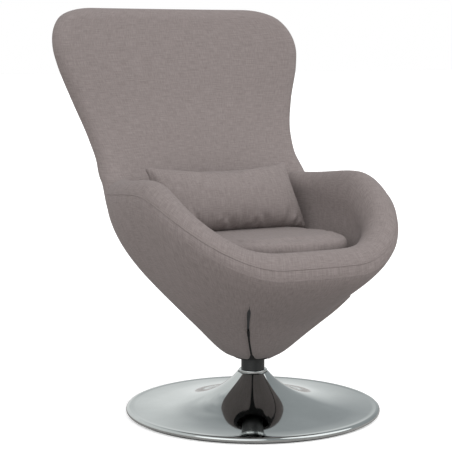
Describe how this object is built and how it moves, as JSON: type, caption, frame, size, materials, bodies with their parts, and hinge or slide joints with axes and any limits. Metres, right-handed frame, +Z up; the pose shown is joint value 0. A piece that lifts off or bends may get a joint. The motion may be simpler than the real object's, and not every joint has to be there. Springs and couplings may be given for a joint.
{
  "type": "swivel armchair",
  "caption": "Upholstered swivel tub armchair with a high winged back, rolled arms, loose seat cushion and lumbar pillow on a round chromed trumpet base.",
  "frame": {"origin": "on the floor under the swivel axis", "axes": "+Z up along the swivel axis, -Y towards the front of the seat, +X to the right of a viewer facing the front"},
  "size_m": [0.6802, 0.7937, 0.9516],
  "materials": {
    "floor_rubber": "dull moulded ring",
    "inner_steel": "zinc plated",
    "base_chrome": "bright chrome plate",
    "column_black": "black powder coat",
    "bush_plastic": "nylon",
    "plywood": "birch plywood",
    "taupe_fabric": "woven linen look fabric",
    "foam": "open cell foam",
    "shell_plastic": "moulded dark shell",
    "piping_fabric": "sewn seam cord in the same fabric",
    "black_lining": "thin black lining cloth",
    "cushion_fabric": "woven linen look fabric",
    "pillow_fabric": "woven linen look fabric"
  },
  "bodies": {
    "base": {"floor_ring": "floor_rubber", "base_plate": "inner_steel", "base_trumpet": "base_chrome", "neck_ring": "base_chrome", "column_tube": "column_black", "column_bolt": "inner_steel", "upper_bush": "bush_plastic", "lower_bush": "bush_plastic", "thrust_washer": "bush_plastic"},
    "seat": {"swivel_spindle": "inner_steel", "spindle_clip": "inner_steel", "seat_plate": "column_black", "plate_bolts": "inner_steel", "tee_nuts": "inner_steel", "seat_board": "plywood", "outer_cover": "taupe_fabric", "inner_cover": "taupe_fabric", "tub_padding": "foam", "tub_shell": "shell_plastic", "rim_piping": "piping_fabric", "skirt_front": "taupe_fabric", "skirt_rear": "taupe_fabric", "skirt_lining": "black_lining", "seat_block": "foam", "seat_deck": "black_lining", "back_cover": "taupe_fabric", "back_shell": "shell_plastic", "back_padding": "foam"},
    "seat_cushion": {"seat_cushion_cover": "cushion_fabric", "seat_cushion_foam": "foam"},
    "pillow": {"pillow_cover": "pillow_fabric", "pillow_filling": "foam"}
  },
  "joints": [
    {"name": "swivel", "type": "hinge", "parent": "base", "child": "seat", "pos_m": [0, 0, 0.2], "axis": [0, 0, 1], "continuous": true},
    {"name": "seat_cushion_lift", "type": "slide", "parent": "seat", "child": "seat_cushion", "axis": [0, 0, 1], "range_m": [0, 0.25]},
    {"name": "pillow_lift", "type": "slide", "parent": "seat_cushion", "child": "pillow", "axis": [0, -0.5, 0.866], "range_m": [0, 0.25]}
  ]
}
